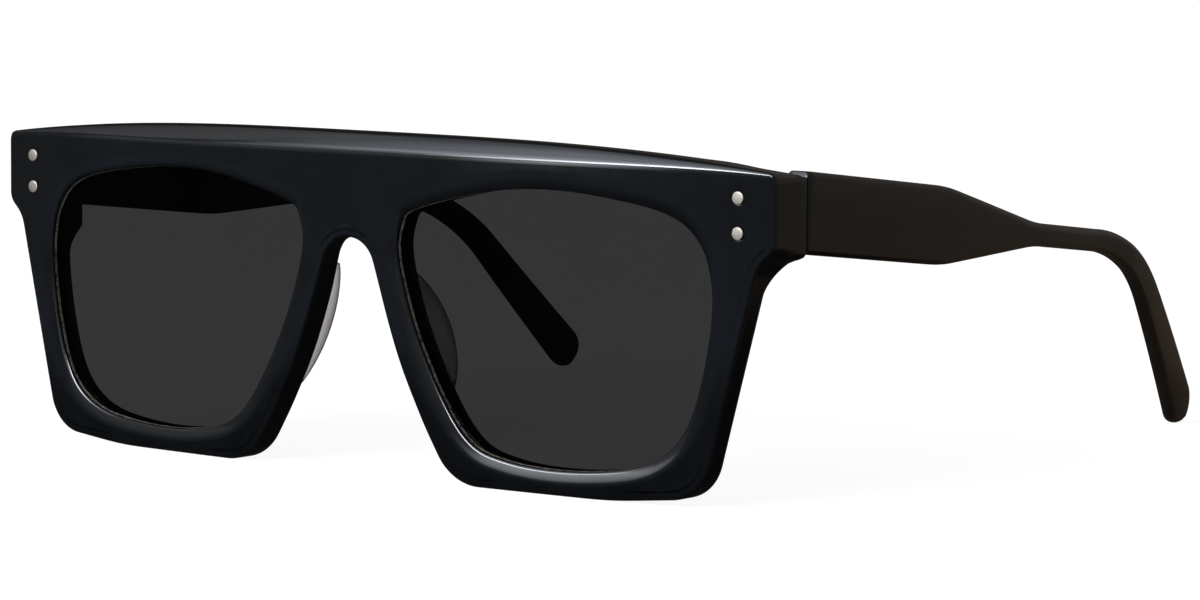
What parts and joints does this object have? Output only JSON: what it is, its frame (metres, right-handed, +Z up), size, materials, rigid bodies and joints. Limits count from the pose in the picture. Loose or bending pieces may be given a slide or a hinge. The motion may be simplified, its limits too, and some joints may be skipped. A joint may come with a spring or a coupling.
{
  "type": "square sunglasses",
  "caption": "Oversized square sunglasses with a straight bevelled brow, thick acetate rims, flat tinted lenses, wide paddle temples on barrel hinges and glued nose pads; the temples fold.",
  "frame": {"origin": "on the table plane under the lower rims and the tips of the temples, below the middle of the box round the open glasses", "axes": "+X towards the wearer's left, +Y from the front towards the ears, +Z up"},
  "size_m": [0.1482, 0.1394, 0.0509],
  "materials": {
    "front_acetate": "polished",
    "temple_acetate": "satin",
    "pad_acetate": "polished",
    "lens_tint": "polished",
    "hinge_metal": "satin",
    "screw_steel": "satin",
    "rivet_metal": "polished",
    "core_wire_metal": "plain"
  },
  "bodies": {
    "front": {"front_frame": "front_acetate", "lens_left": "lens_tint", "nose_pad_left": "pad_acetate", "hinge_front_leaf_left": "hinge_metal", "hinge_screw_left": "screw_steel", "rivets_left": "rivet_metal", "lens_right": "lens_tint", "nose_pad_right": "pad_acetate", "hinge_front_leaf_right": "hinge_metal", "hinge_screw_right": "screw_steel", "rivets_right": "rivet_metal"},
    "temple_left_arm": {"temple_left": "temple_acetate", "core_wire_left": "core_wire_metal", "hinge_temple_leaf_left": "hinge_metal"},
    "temple_right_arm": {"temple_right": "temple_acetate", "core_wire_right": "core_wire_metal", "hinge_temple_leaf_right": "hinge_metal"}
  },
  "joints": [
    {"name": "temple_left_fold", "type": "hinge", "parent": "front", "child": "temple_left_arm", "pos_m": [0.0687, -0.05588, 0.04175], "axis": [0, 0, 1], "range_deg": [0, 88]},
    {"name": "temple_right_fold", "type": "hinge", "parent": "front", "child": "temple_right_arm", "pos_m": [-0.0687, -0.05588, 0.04175], "axis": [0, 0, -1], "range_deg": [0, 82]}
  ]
}
